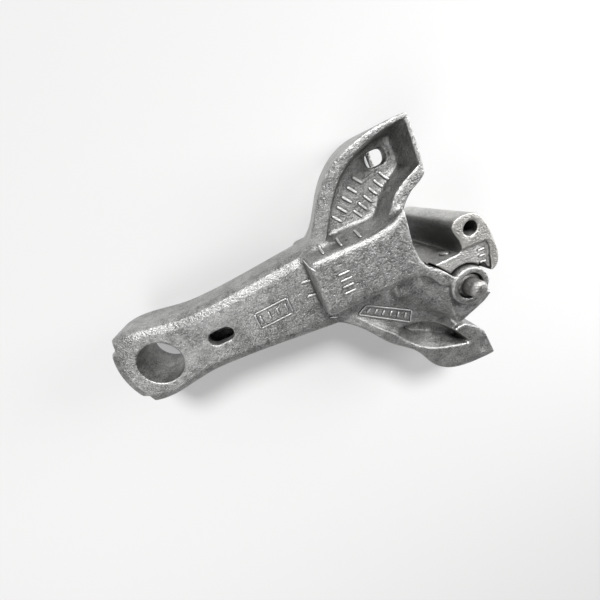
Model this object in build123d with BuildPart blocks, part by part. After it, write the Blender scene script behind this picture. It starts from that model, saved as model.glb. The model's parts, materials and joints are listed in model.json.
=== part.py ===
"""Rigid-shank interlocking knuckle coupler: casting, knuckle, pin and lock gear.

Frame: origin at the centre of the shank pin bore, +X along the shank towards
the knuckle, +Y towards the guard arm, +Z up.  Millimetres.
"""

import os
from math import asin, cos, degrees, radians, sin, sqrt

from build123d import *

os.makedirs("parts", exist_ok=True)

IN = 25.4

# Shank and butt
BORE_R = 54.4
SHANK_HALF_H = 75.0
SHANK_ROUND = 27.0
BUTT_X = -110.0
BUTT_END_R = 7.0 * IN
BUTT_ARC_HALF_W = 66.0
BUTT_HALF_W = 97.0
SHOULDER_X = -84.0
SHANK_ROOT_X = 470.0
CORE_SLOT_X = 161.0
CORE_SLOT_L = 64.0
CORE_SLOT_W = 35.0

# Head
HEAD_HALF_H = 147.0
BOX_X0 = 414.0
BOX_Y0, BOX_Y1 = -41.0, 97.0
WEB_HALF_H = 76.0
ARM_HALF_H = 128.0
ARM_FLOOR_TOP, ARM_FLOOR_LOW = 50.0, 20.0
POCKET_LEAN = 14.0
WING_HALF_H = 89.0
BOWL_FLOOR = 36.0

# Knuckle pivot and the lugs that carry it
PIVOT_X, PIVOT_Y = 29.3 * IN, -4.33 * IN
PIN_R = 20.6
PIN_HOLE_R = 20.7
HEEL_LUG_R = 60.0
LUG_INNER_Z = 101.5
LUG_TOP_Z = 134.0
RING_R = 46.0
RING_TOP_Z = 150.0
RING_BORE_R = 30.5

# Knuckle
NOSE_HALF_H = 5.5 * IN
SHROUD_HALF_H = 132.0
HUB_R = 58.0
HUB_HALF_H = 100.5
SHROUD_R = 50.0
TAIL_R = 125.0
TAIL_HALF_W = 24.0
TAIL_TOP, TAIL_LOW = -20.0, -78.0

# Lock chamber, and the lock gear in it
CORE_HALF_W, CORE_HALF_H = 58.0, 48.0
CHAMBER_X0, CHAMBER_X1 = 432.0, 623.0
CHAMBER_Y0, CHAMBER_Y1 = -24.0, 76.0
CHAMBER_FLOOR, CHAMBER_ROOF = -125.0, 130.0
TAIL_ROOM_ROOF = -12.0
TONGUE_SHAFT_ROOF = 93.0
LOCK_LIFT = 92.0
LIFT_Y = 20.0
REAR_SLOT_X0, REAR_SLOT_X1, REAR_SLOT_W = 374.0, 505.0, 32.0
FRONT_SLOT_X0, FRONT_SLOT_X1, FRONT_SLOT_W = 524.0, 622.0, 50.0
FLOOR_UNDER_Z = -160.0
LEVER_X, LEVER_Z = 500.0, -88.0
LEVER_ARM = 80.0
LEVER_TURN = 2 * degrees(asin(LOCK_LIFT / 2 / LEVER_ARM))
LEVER_PIN_R = 10.0
THROWER_X, THROWER_Y = PIVOT_X - 175.0, PIVOT_Y + 5.0
TRUNNION_R = 14.0
LOCK_LOW, LOCK_TOP = -30.0, 33.0
LOCK_PLAY = 0.5
TONGUE_LOW, TONGUE_TOP = -36.0, -2.0
LEG_X = 578.0
TOGGLE_Z, LINK_Z = -60.0, -90.0
RIVET_R = 7.0
THROWER_LOW, THROWER_TOP = -121.0, -82.0
FINGER_X, FINGER_Y = PIVOT_X - 85.0, PIVOT_Y - 40.0
FINGER_R, FINGER_TOP = 12.0, -34.0
PIN_SEAT_Z = 136.0
PIN_TOP_Z = 184.0
PIN_FOOT_Z = -147.0
COTTER_Z = -139.0
COTTER_R = 3.2

# Flag hole in the nose
FLAG_X, FLAG_Y = 774.7, 17.8
FLAG_HOLE_R = 16.5
FLAG_HOLE_DEPTH = 90.0


def polar(radius, angle, centre=(PIVOT_X, PIVOT_Y)):
    """Point at a radius and an angle in degrees round the knuckle pivot."""
    return (
        centre[0] + radius * cos(radians(angle)),
        centre[1] + radius * sin(radians(angle)),
    )


def rounded_slab(outline, half_h, radius):
    """Slab of outline(inset) whose upper and lower rims are rounded in two flats."""
    with BuildPart() as slab:
        for end, angles in ((-1, (90, 45, 0)), (1, (0, 45, 90))):
            for angle in angles:
                rise = half_h - radius + radius * sin(radians(angle))
                with BuildSketch(Plane.XY.offset(end * rise)):
                    add(outline(radius * (1 - cos(radians(angle)))))
        loft(ruled=True)
    return slab.part


# ---------------------------------------------------------------- shank
def shank_outline(inset):
    """Plan of the shank: rounded butt between shoulders, swell, waist and flare."""
    tip_x = BUTT_X + inset
    arc_x = tip_x + BUTT_END_R - sqrt(BUTT_END_R**2 - BUTT_ARC_HALF_W**2)
    with BuildSketch() as plan:
        with BuildLine():
            tip = ThreePointArc(
                (arc_x, -BUTT_ARC_HALF_W), (tip_x, 0), (arc_x, BUTT_ARC_HALF_W)
            )
            upper = Spline(
                (SHOULDER_X + 4 + inset, BUTT_HALF_W - inset), (-38, 103 - inset),
                (88, 87 - inset), (150, 86 - inset), (320, 98 - inset),
                (SHANK_ROOT_X, 110 - inset),
            )
            Polyline(tip @ 1, (SHOULDER_X + inset, BUTT_ARC_HALF_W + 2), upper @ 0)
            lower = Spline(
                (SHANK_ROOT_X, inset - 110), (320, inset - 98), (150, inset - 86),
                (88, inset - 87), (-38, inset - 103),
                (SHOULDER_X + 4 + inset, inset - BUTT_HALF_W),
            )
            Line(upper @ 1, lower @ 0)
            Polyline(lower @ 1, (SHOULDER_X + inset, -BUTT_ARC_HALF_W - 2), tip @ 0)
        make_face()
    return plan.sketch


shank = rounded_slab(shank_outline, SHANK_HALF_H, SHANK_ROUND)


# ---------------------------------------------------------------- head forms
def box_outline(inset):
    """Lock box plan: round rear corners, and the throat side in front."""
    x0 = BOX_X0 + inset
    y0 = BOX_Y0 + inset
    y1 = BOX_Y1 - inset
    with BuildSketch() as plan:
        with BuildLine():
            low = ThreePointArc((x0, y0 + 15), (x0 + 4.4, y0 + 4.4), (x0 + 15, y0))
            high = ThreePointArc((x0 + 15, y1), (x0 + 4.4, y1 - 4.4), (x0, y1 - 15))
            Polyline(
                low @ 1, (676, y0 + 3), (660, -22), (649, 0), (642, 38), (643, 122 - inset),
                (612, 104 - inset), (560, y1), high @ 0,
            )
            Line(high @ 1, low @ 0)
        make_face()
    return plan.sketch


lock_box = rounded_slab(box_outline, HEAD_HALF_H, 13)


def arm_outline(recede):
    """Guard arm plan; the outer curve recedes by this much at the root."""
    with BuildSketch() as plan:
        with BuildLine():
            outer = Spline(
                (392 + 0.4 * recede, 96),
                (436 + recede, 128 - 0.1 * recede),
                (474 + recede, 190 - 0.2 * recede),
                (516 + 0.9 * recede, 241 - 0.2 * recede),
                (571 + 0.6 * recede, 270 - 0.1 * recede),
                (646, 285), (705, 286),
            )
            Polyline(
                outer @ 1, (711.5, 205), (712, 164), (700, 155), (677, 143),
                (665, 132), (652, 116), (630, 84), (560, 50), (392 + 0.4 * recede, 52),
                outer @ 0,
            )
        make_face()
    return plan.sketch


with BuildPart() as guard_arm:
    with BuildSketch(Plane.XY.offset(-ARM_HALF_H)):
        add(arm_outline(44))
    with BuildSketch(Plane.XY.offset(ARM_HALF_H)):
        add(arm_outline(0))
    loft(ruled=True)
    with BuildSketch(Plane.XZ.offset(-300)):
        with BuildLine():
            Polyline(
                (380, 60), (440, 77), (505, 99), (575, 119), (640, 127), (740, 129),
                (740, -129), (640, -127), (575, -119), (505, -99), (440, -77), (380, -60),
                close=True,
            )
        make_face()
    extrude(amount=280, mode=Mode.INTERSECT)


def pocket_outline(grow):
    """Guard arm pocket plan; its sides lean out by about this much."""
    with BuildSketch() as plan:
        with BuildLine():
            curve = Spline(
                (486 - 1.7 * grow, 110 - 0.7 * grow), (509 - 1.2 * grow, 150 + 0.6 * grow),
                (545 - 1.1 * grow, 203 + 0.7 * grow), (587 - 0.7 * grow, 238 + 0.9 * grow),
                (642 - 0.4 * grow, 258 + 0.9 * grow), (690 + 0.4 * grow, 264 + 0.9 * grow),
            )
            Polyline(
                curve @ 1, (697 + 0.4 * grow, 190 - 0.3 * grow),
                (672 - 0.6 * grow, 178 - 0.7 * grow), (645 - 0.6 * grow, 158 - 0.7 * grow),
                (622 - 0.7 * grow, 124 - 0.9 * grow), (606 - 0.7 * grow, 107 - 0.7 * grow),
                curve @ 0,
            )
        make_face()
    return plan.sketch


with BuildPart() as arm_pocket:
    with BuildSketch(Plane.XY.offset(ARM_FLOOR_TOP)):
        add(pocket_outline(0))
    with BuildSketch(Plane.XY.offset(ARM_HALF_H + 2)):
        add(pocket_outline(POCKET_LEAN))
    loft(ruled=True)

# ---------------------------------------------------------------- aligning wing
def wing_outline(foot):
    """Wing plan: rim along the inside, swell outside; the foot spreads inwards."""
    with BuildSketch() as plan:
        with BuildLine():
            rim = Spline(
                (478, -92), (529, -152), (588, -210 + 0.4 * foot),
                (647, -252 + foot), (721, -290 + foot), (797, -300),
            )
            Line(rim @ 1, (813, -378))
            swell = Spline(
                (813, -378), (727, -378), (672, -363), (632, -326), (604, -272),
                (545, -214), (497, -152), (440, -104),
            )
            Line(swell @ 1, rim @ 0)
        make_face()
    return plan.sketch


with BuildPart() as wing:
    with BuildSketch():
        add(wing_outline(34))
    with BuildSketch(Plane.XY.offset(WING_HALF_H)):
        add(wing_outline(0))
    loft(ruled=True)
    mirror(about=Plane.XY)
    with BuildSketch(Plane.XZ.offset(60)):
        with BuildLine():
            Polyline(
                (400, 40), (440, 66), (484, 80), (530, 90), (850, 90), (850, -90),
                (530, -90), (484, -80), (440, -66), (400, -40), close=True,
            )
        make_face()
    extrude(amount=360, mode=Mode.INTERSECT)

with BuildPart() as web:
    with BuildSketch(Plane.XY.offset(-WEB_HALF_H)):
        Polygon(
            (450, 60), (450, -90), (478, -96), (529, -150), (588, -212), (650, -256),
            (724, -294), (752, -290), (738, -256), (710, -210), (700, -62), (676, -40),
            (658, -22), (646, 0), (638, 60), align=None,
        )
    extrude(amount=2 * WEB_HALF_H)

# hollow between the web and the sloping inner side of the wing
with BuildPart() as wing_bowl:
    with BuildSketch(Plane.XY.offset(BOWL_FLOOR)):
        with BuildLine():
            Spline((600, -208), (645, -214), (688, -240), (716, -268), (740, -308))
            Spline((740, -308), (698, -279), (654, -249), (613, -226), (600, -208))
        make_face()
    with BuildSketch(Plane.XY.offset(WING_HALF_H + 3)):
        with BuildLine():
            Spline((556, -180), (628, -183), (672, -205), (708, -242), (752, -313))
            Spline((752, -313), (700, -299), (640, -277), (600, -245), (556, -180))
        make_face()
    loft(ruled=True)

# front end of the wing, standing inwards beside the bowl
with BuildPart() as wing_front:
    with BuildSketch(Plane.XY.offset(-WING_HALF_H)):
        Polygon(
            (700, -262), (726, -248), (746, -247), (777, -271), (797, -299), (780, -330),
            (700, -290), align=None,
        )
    extrude(amount=2 * WING_HALF_H)

with BuildPart() as tip_recess:
    with BuildSketch(Plane.XY.offset(WING_HALF_H - 5)):
        Polygon((774, -312), (793, -316), (787, -357), (770, -352), align=None)
    extrude(amount=20)
    mirror(about=Plane.XY)


def flank_foot():
    """Flank below the pivot lug at the web's level: a ridge from the box to the wing."""
    with BuildSketch() as plan:
        Polygon(
            (604, -100), (613, -135), (635, -152), (657, -166), (683, -184), (707, -209),
            (727, -236), (776, -208), (812, -172), (812, -120), (744, -96), (704, -52),
            (604, -52), align=None,
        )
    return plan.sketch


with BuildPart() as flank:
    with BuildSketch():
        add(flank_foot())
    with BuildSketch(Plane.XY.offset(WEB_HALF_H)):
        add(flank_foot())
    with BuildSketch(Plane.XY.offset(LUG_TOP_Z)):
        Polygon(
            (690, -84), (697, -110), (698, -140), (698, -165), (700, -180), (702, -199),
            (713, -203), (783, -172), (806, -154), (810, -122), (744, -96), (704, -52),
            (690, -52), align=None,
        )
    loft(ruled=True)
    mirror(about=Plane.XY)

# swell over the shaft of the lock tongue
with BuildPart() as shaft_swell:
    with BuildSketch(Plane.XY.offset(50)):
        Polygon(
            (560, -22), (560, -104), (584, -130), (640, -142), (710, -164), (710, -22),
            align=None,
        )
    with BuildSketch(Plane.XY.offset(LUG_INNER_Z)):
        Polygon(
            (590, -22), (590, -84), (598, -92), (655, -96), (710, -112), (710, -22),
            align=None,
        )
    loft(ruled=True)
    mirror(about=Plane.XY)

# arms of the upper and lower lug, level with the lock box
with BuildPart() as lug_arm:
    with BuildSketch(Plane.XY.offset(LUG_INNER_Z - 8)):
        with BuildLine():
            back = Spline((630, -38), (652, -43), (668, -62), (684, -82), (704, -90))
            Polyline(back @ 1, (720, -70), (700, -50), (676, -34), (630, -30), back @ 0)
        make_face()
    extrude(amount=HEAD_HALF_H - LUG_INNER_Z + 8)
    mirror(about=Plane.XY)

# case of the tail room and thrower, on the under side only
with BuildPart() as tail_case:
    with BuildSketch(Plane.XY.offset(-50)):
        Polygon(
            (516, -22), (516, -160), (548, -190), (676, -190), (704, -164), (704, -22),
            align=None,
        )
    with BuildSketch(Plane.XY.offset(-138)):
        Polygon(
            (526, -22), (526, -150), (556, -178), (668, -178), (696, -152), (696, -22),
            align=None,
        )
    loft(ruled=True)

with BuildPart() as lug_rings:
    with BuildSketch(Plane.XY.offset(-RING_TOP_Z)):
        with Locations((PIVOT_X, PIVOT_Y)):
            Circle(RING_R)
    extrude(amount=2 * RING_TOP_Z)
    chamfer(lug_rings.edges().group_by(Axis.Z)[-1], 3)


# ---------------------------------------------------------------- hollows
with BuildPart() as pin_bore:
    with BuildSketch(Plane.XY.offset(-100)):
        Circle(BORE_R)
    extrude(amount=200)

with BuildPart() as shank_core:
    with BuildSketch(Plane.YZ.offset(96)):
        RectangleRounded(2 * CORE_HALF_W, 2 * CORE_HALF_H, 22)
    extrude(amount=310)
    with BuildSketch(Plane.YZ.offset(400)):
        with Locations((20, 0)):
            RectangleRounded(74, 80, 16)
    extrude(amount=40)
    with BuildSketch(Plane.XY.offset(40)):
        with Locations((CORE_SLOT_X, 0)):
            SlotOverall(CORE_SLOT_L, CORE_SLOT_W)
    extrude(amount=60)

with BuildPart() as lock_chamber:
    with BuildSketch(Plane.XY.offset(CHAMBER_FLOOR)):
        with BuildLine():
            Polyline(
                (CHAMBER_X0, CHAMBER_Y0), (CHAMBER_X1, CHAMBER_Y0), (CHAMBER_X1, CHAMBER_Y1),
                (CHAMBER_X0, CHAMBER_Y1), close=True,
            )
        make_face()
    extrude(amount=CHAMBER_ROOF - CHAMBER_FLOOR)
    fillet(lock_chamber.edges().filter_by(Axis.Z).group_by(Axis.X)[0], 14)

with BuildPart() as tail_room:
    with BuildSketch(Plane.XY.offset(CHAMBER_FLOOR)):
        Polygon(
            (535, -30), (535, -150), (556, -172), (668, -172), (690, -150), (690, -30),
            align=None,
        )
    extrude(amount=TAIL_ROOM_ROOF - CHAMBER_FLOOR)
    with BuildSketch(Plane.XY.offset(CHAMBER_FLOOR)):
        Polygon((598, -10), (598, -84), (662, -84), (662, -31), (623, -31), (623, -10), align=None)
    extrude(amount=TONGUE_SHAFT_ROOF - CHAMBER_FLOOR)
    with BuildSketch(Plane.XY.offset(TAIL_LOW - 4)):
        with BuildLine():
            sweep_arc = CenterArc((PIVOT_X, PIVOT_Y), TAIL_R + 4, 118, 70)
            Polyline(sweep_arc @ 1, (PIVOT_X, PIVOT_Y), sweep_arc @ 0)
        make_face()
    extrude(amount=TAIL_TOP - TAIL_LOW + 12)

with BuildPart() as knuckle_room:
    with BuildSketch(Plane.XY.offset(-LUG_INNER_Z)):
        with Locations((PIVOT_X, PIVOT_Y)):
            Circle(HUB_R + 6)
        Polygon(
            (675, 90), (675, -66), (700, -100), (PIVOT_X, PIVOT_Y), (704, -196), (728, -242),
            (748, -244), (779, -268), (800, -296), (920, -200), (920, 90), align=None,
        )
    extrude(amount=2 * LUG_INNER_Z)
    with BuildSketch(Plane.XY.offset(LUG_INNER_Z - 1)):
        Polygon(
            (PIVOT_X, PIVOT_Y), polar(220, -7), (940, 60), (744, 150), (676, 60),
            polar(116, 130), align=None,
        )
        with Locations((PIVOT_X, PIVOT_Y)):
            Circle(RING_R, mode=Mode.SUBTRACT)
    extrude(amount=70)
    # the heel swings round outside the lug
    with BuildSketch(Plane.XY.offset(LUG_INNER_Z - 1)):
        Polygon((PIVOT_X, PIVOT_Y), polar(150, -39), polar(180, -20), polar(150, 0), align=None)
        with Locations((PIVOT_X, PIVOT_Y)):
            Circle(HEEL_LUG_R, mode=Mode.SUBTRACT)
    extrude(amount=70)
    mirror(about=Plane.XY)

with BuildPart() as pivot_hole:
    with BuildSketch(Plane.XY.offset(-RING_TOP_Z - 5)):
        with Locations((PIVOT_X, PIVOT_Y)):
            Circle(PIN_HOLE_R)
    extrude(amount=2 * RING_TOP_Z + 10)
    with BuildSketch(Plane.XY.offset(PIN_SEAT_Z)):
        with Locations((PIVOT_X, PIVOT_Y)):
            Circle(RING_BORE_R)
    extrude(amount=30)
    with BuildSketch(Plane.XY.offset(-RING_TOP_Z - 5)):
        with Locations((PIVOT_X, PIVOT_Y)):
            Circle(RING_BORE_R)
    extrude(amount=25)

# slots in the chamber floor, the rear one also through the back wall, and the thrower's bearing
with BuildPart() as floor_slots:
    with BuildSketch(Plane.XY.offset(FLOOR_UNDER_Z)):
        with Locations(((REAR_SLOT_X0 + REAR_SLOT_X1) / 2, LIFT_Y)):
            Rectangle(REAR_SLOT_X1 - REAR_SLOT_X0, REAR_SLOT_W)
        with Locations(((FRONT_SLOT_X0 + FRONT_SLOT_X1) / 2, LIFT_Y)):
            Rectangle(FRONT_SLOT_X1 - FRONT_SLOT_X0, FRONT_SLOT_W)
    extrude(amount=60)
    with BuildSketch(Plane.XY.offset(-101)):
        wall_x1 = CHAMBER_X0 + 8
        with Locations(((REAR_SLOT_X0 + wall_x1) / 2, LIFT_Y)):
            Rectangle(wall_x1 - REAR_SLOT_X0, REAR_SLOT_W)
    extrude(amount=25)
    with BuildSketch(Plane.XY.offset(FLOOR_UNDER_Z)):
        with Locations((THROWER_X, THROWER_Y)):
            Circle(TRUNNION_R + 0.1)
    extrude(amount=60)

with BuildPart() as arm_low_pocket:
    with BuildSketch(Plane.XY.offset(ARM_FLOOR_LOW)):
        add(pocket_outline(0))
    extrude(amount=-180)

with BuildPart() as arm_hole:
    with BuildSketch():
        with Locations((652, 227)):
            RectangleRounded(47, 34, 12)
    extrude(amount=80)

with BuildPart() as wing_hollow:
    with BuildSketch(Plane.XY.offset(-100)):
        Polygon(
            (640, -278), (700, -300), (785, -318), (790, -362), (730, -362), (680, -350),
            (645, -322), align=None,
        )
    extrude(amount=150)

# ---------------------------------------------------------------- casting
with BuildPart() as lever_ears:
    for side_y in (LIFT_Y - 26, LIFT_Y + 26):
        with BuildSketch(Plane.XZ.offset(-side_y - 7)):
            with BuildLine():
                crown = ThreePointArc((482, LEVER_Z), (500, LEVER_Z + 18), (518, LEVER_Z))
                Polyline(crown @ 1, (524, -130), (476, -130), crown @ 0)
            make_face()
            with Locations((LEVER_X, LEVER_Z)):
                Circle(LEVER_PIN_R + 0.1, mode=Mode.SUBTRACT)
        extrude(amount=14)

with BuildPart() as coupler_body:
    add(shank)
    add(lock_box)
    add(guard_arm.part)
    add(web.part)
    add(wing.part)
    add(wing_front.part)
    add(flank.part)
    add(shaft_swell.part)
    add(lug_arm.part)
    add(tail_case.part)
    add(wing_bowl.part, mode=Mode.SUBTRACT)
    add(tip_recess.part, mode=Mode.SUBTRACT)
    add(lug_rings.part)
    add(arm_pocket.part, mode=Mode.SUBTRACT)
    add(arm_low_pocket.part, mode=Mode.SUBTRACT)
    add(arm_hole.part, mode=Mode.SUBTRACT)
    add(wing_hollow.part, mode=Mode.SUBTRACT)
    add(pin_bore.part, mode=Mode.SUBTRACT)
    add(shank_core.part, mode=Mode.SUBTRACT)
    add(lock_chamber.part, mode=Mode.SUBTRACT)
    add(tail_room.part, mode=Mode.SUBTRACT)
    add(knuckle_room.part, mode=Mode.SUBTRACT)
    add(pivot_hole.part, mode=Mode.SUBTRACT)
    add(floor_slots.part, mode=Mode.SUBTRACT)
    add(lever_ears.part)

coupler_body.part.label = "coupler_body"
export_step(coupler_body.part, "parts/coupler_body.step")


# ---------------------------------------------------------------- knuckle
def nose_outline():
    """Nose, heel and throat wall of the knuckle, closed round the pivot."""
    with BuildSketch() as plan:
        with BuildLine():
            Line((678, -33), (744, -31))
            Spline((744, -31), (747, -20), (744, 2), (736, 22), (733, 35))
            Spline((733, 35), (743, 48), (762, 53), (784, 50), (804, 35))
            Spline((804, 35), (814, 12), (824, -30), (829, -66), (826, -84))
            ThreePointArc((826, -84), (819, -95), (806, -100))
            Polyline((806, -100), (PIVOT_X, PIVOT_Y), (700, -92), (678, -64), (678, -33))
        make_face()
    return plan.sketch


with BuildPart() as lug_clearance:
    with BuildSketch(Plane.XY.offset(HUB_HALF_H)):
        with Locations((PIVOT_X, PIVOT_Y)):
            Circle(SHROUD_R)
        with BuildLine():
            relief = CenterArc((PIVOT_X, PIVOT_Y), HEEL_LUG_R + 1.5, -14, 54)
            Polyline(relief @ 1, (PIVOT_X, PIVOT_Y), relief @ 0)
        make_face()
        Polygon((PIVOT_X, PIVOT_Y), polar(150, 128.5), polar(150, 180), align=None)
    extrude(amount=60)
    mirror(about=Plane.XY)

with BuildPart() as nose_pads:
    with BuildSketch(Plane.XY.offset(-NOSE_HALF_H)):
        add(nose_outline())
        Polygon(
            (640, -23), (746, -23), (806, -24), (811, -40), (808, -90), (790, -130),
            (640, -130), align=None, mode=Mode.SUBTRACT,
        )
    extrude(amount=2 * NOSE_HALF_H)

with BuildPart() as knuckle:
    with BuildSketch(Plane.XY.offset(-SHROUD_HALF_H)):
        add(nose_outline())
    extrude(amount=2 * SHROUD_HALF_H)
    add(nose_pads.part)
    add(lug_clearance.part, mode=Mode.SUBTRACT)
    # hub between the lugs
    with BuildSketch(Plane.XY.offset(-HUB_HALF_H)):
        with Locations((PIVOT_X, PIVOT_Y)):
            Circle(HUB_R)
    extrude(amount=2 * HUB_HALF_H)
    # tail, swung in front of the lock
    with BuildSketch(Plane.XY.offset(TAIL_LOW)):
        with BuildLine():
            tail_x = PIVOT_X - TAIL_R
            Polyline(
                (PIVOT_X, PIVOT_Y - 34), (PIVOT_X - 62, PIVOT_Y - TAIL_HALF_W),
                (tail_x + 12, PIVOT_Y - TAIL_HALF_W), (tail_x, PIVOT_Y - 12),
                (tail_x, PIVOT_Y + 12), (tail_x + 8, PIVOT_Y + TAIL_HALF_W),
                (PIVOT_X - 66, PIVOT_Y + TAIL_HALF_W), (PIVOT_X, PIVOT_Y + 44), close=True,
            )
        make_face()
    extrude(amount=TAIL_TOP - TAIL_LOW)
    tail_rim = (
        knuckle.edges()
        .filter_by(lambda e: abs(e.center().Z - TAIL_TOP) < 0.1)
        .filter_by(lambda e: e.center().X < PIVOT_X - 70)
    )
    chamfer(tail_rim, 5)
    with BuildSketch(Plane.XY.offset(-HUB_HALF_H)):
        with Locations((PIVOT_X, PIVOT_Y)):
            Circle(PIN_HOLE_R)
    extrude(amount=2 * HUB_HALF_H, mode=Mode.SUBTRACT)
    with BuildSketch(Plane.XY.offset(NOSE_HALF_H)):
        with Locations((FLAG_X, FLAG_Y)):
            Circle(FLAG_HOLE_R)
    extrude(amount=-FLAG_HOLE_DEPTH, mode=Mode.SUBTRACT)

knuckle.part.label = "knuckle"
export_step(knuckle.part, "parts/knuckle.step")


# ---------------------------------------------------------------- pivot pin
with BuildPart() as knuckle_pin:
    with BuildSketch(Plane.XZ) as pin_half:
        with BuildLine():
            Polyline(
                (0, PIN_FOOT_Z), (PIN_R - 3, PIN_FOOT_Z), (PIN_R, PIN_FOOT_Z + 3),
                (PIN_R, PIN_SEAT_Z), (28, PIN_SEAT_Z),
                (28, PIN_SEAT_Z + 7), (PIN_R, PIN_SEAT_Z + 8), (PIN_R, PIN_TOP_Z - 4),
                (PIN_R - 4, PIN_TOP_Z), (0, PIN_TOP_Z),
                close=True,
            )
        make_face()
    revolve(axis=Axis.Z)
    with BuildSketch(Plane.YZ):
        with Locations((0, COTTER_Z)):
            Circle(COTTER_R + 0.3)
    extrude(amount=40, both=True, mode=Mode.SUBTRACT)

pin_placed = knuckle_pin.part.moved(Location((PIVOT_X, PIVOT_Y, 0)))
pin_placed.label = "knuckle_pin"
export_step(pin_placed, "parts/knuckle_pin.step")

# split pin: two half round legs through the hole, an eye on one side, tips bent
with BuildPart() as pin_cotter:
    with BuildSketch(Plane.YZ.offset(-24)):
        with Locations((0, COTTER_Z)):
            Circle(COTTER_R)
    extrude(amount=51)
    with BuildSketch(Plane.XZ.offset(-3)):
        with Locations((-25.6, COTTER_Z)):
            Circle(4.7)
            Circle(2.0, mode=Mode.SUBTRACT)
    extrude(amount=6)
    split_gap = Box(30, 0.8, 10, mode=Mode.PRIVATE).moved(Location((15, 0, COTTER_Z)))
    add(split_gap, mode=Mode.SUBTRACT)

cotter_placed = pin_cotter.part.moved(Location((PIVOT_X, PIVOT_Y, 0)))
cotter_placed.label = "pin_cotter"
export_step(cotter_placed, "parts/pin_cotter.step")


# ---------------------------------------------------------------- lock
with BuildPart() as lock:
    front_x = CHAMBER_X1 - LOCK_PLAY
    low_y = CHAMBER_Y0 + LOCK_PLAY
    high_y = CHAMBER_Y1 - LOCK_PLAY
    with BuildSketch(Plane.XY.offset(LOCK_LOW)):
        Polygon((560, low_y), (front_x, low_y), (front_x, high_y), (560, high_y), align=None)
    extrude(amount=LOCK_TOP - LOCK_LOW)
    with BuildSketch(Plane.XY.offset(TONGUE_LOW)):
        Polygon(
            (603, -10), (603, -78), (657, -78), (657, -32), (front_x, -32), (front_x, -10),
            align=None,
        )
    extrude(amount=TONGUE_TOP - TONGUE_LOW)
    # lead of the tongue over the tail
    with BuildSketch(Plane.YZ.offset(590)):
        Polygon(
            (-79, TONGUE_LOW - 1), (-67.4, TONGUE_LOW - 1), (-79, TONGUE_LOW + 17.6), align=None
        )
    extrude(amount=80, mode=Mode.SUBTRACT)
    # leg down to the toggle
    with BuildSketch(Plane.XZ.offset(-(LIFT_Y + 16))):
        with BuildLine():
            heel = ThreePointArc(
                (LEG_X - 14, TOGGLE_Z), (LEG_X, TOGGLE_Z - 14), (LEG_X + 14, TOGGLE_Z)
            )
            Polyline(
                heel @ 1, (LEG_X + 18, LOCK_LOW + 4), (LEG_X - 18, LOCK_LOW + 4), heel @ 0
            )
        make_face()
    extrude(amount=32)
    with BuildSketch(Plane.XZ.offset(-(LIFT_Y + 6))):
        Polygon(
            (LEG_X - 30, -90), (LEG_X + 30, -90), (LEG_X + 30, -40), (LEG_X - 30, -40),
            align=None,
        )
    extrude(amount=12, mode=Mode.SUBTRACT)
    with BuildSketch(Plane.XZ.offset(-(LIFT_Y + 20))):
        with Locations((LEG_X, TOGGLE_Z)):
            Circle(RIVET_R + 0.1)
    extrude(amount=40, mode=Mode.SUBTRACT)
    top_rim = lock.edges().filter_by(lambda e: abs(e.center().Z - LOCK_TOP) < 0.1)
    chamfer(top_rim, 4)

lock.part.label = "lock"
export_step(lock.part, "parts/lock.step")


# ---------------------------------------------------------------- thrower
with BuildPart() as knuckle_thrower:
    with BuildSketch(Plane.XY.offset(-145)):
        with Locations((THROWER_X, THROWER_Y)):
            Circle(TRUNNION_R)
    extrude(amount=25)
    with BuildSketch(Plane.XY.offset(THROWER_LOW)):
        with Locations((THROWER_X, THROWER_Y)):
            Circle(22)
        with Locations((FINGER_X, FINGER_Y)):
            Circle(FINGER_R)
        Polygon(
            (THROWER_X - 4, THROWER_Y - 21), (FINGER_X - 4, FINGER_Y - 12),
            (FINGER_X + 6, FINGER_Y + 11), (THROWER_X + 8, THROWER_Y + 20), align=None,
        )
    extrude(amount=THROWER_TOP - THROWER_LOW)
    with BuildSketch(Plane.XY.offset(THROWER_LOW)):
        with Locations((FINGER_X, FINGER_Y)):
            Circle(FINGER_R)
    extrude(amount=FINGER_TOP - THROWER_LOW)
    chamfer(knuckle_thrower.edges().group_by(Axis.Z)[-1], 3)

knuckle_thrower.part.label = "knuckle_thrower"
export_step(knuckle_thrower.part, "parts/knuckle_thrower.step")


# ---------------------------------------------------------------- lock lift
half_turn = LEVER_TURN / 2
EYE_X = LEVER_X + LEVER_ARM * cos(radians(half_turn))
EYE_Z = LEVER_Z - LEVER_ARM * sin(radians(half_turn))


def lift_plane(y):
    """Plane facing -Y whose sketches read as X and Z, at this Y."""
    return Plane.XZ.offset(-y)


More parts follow.
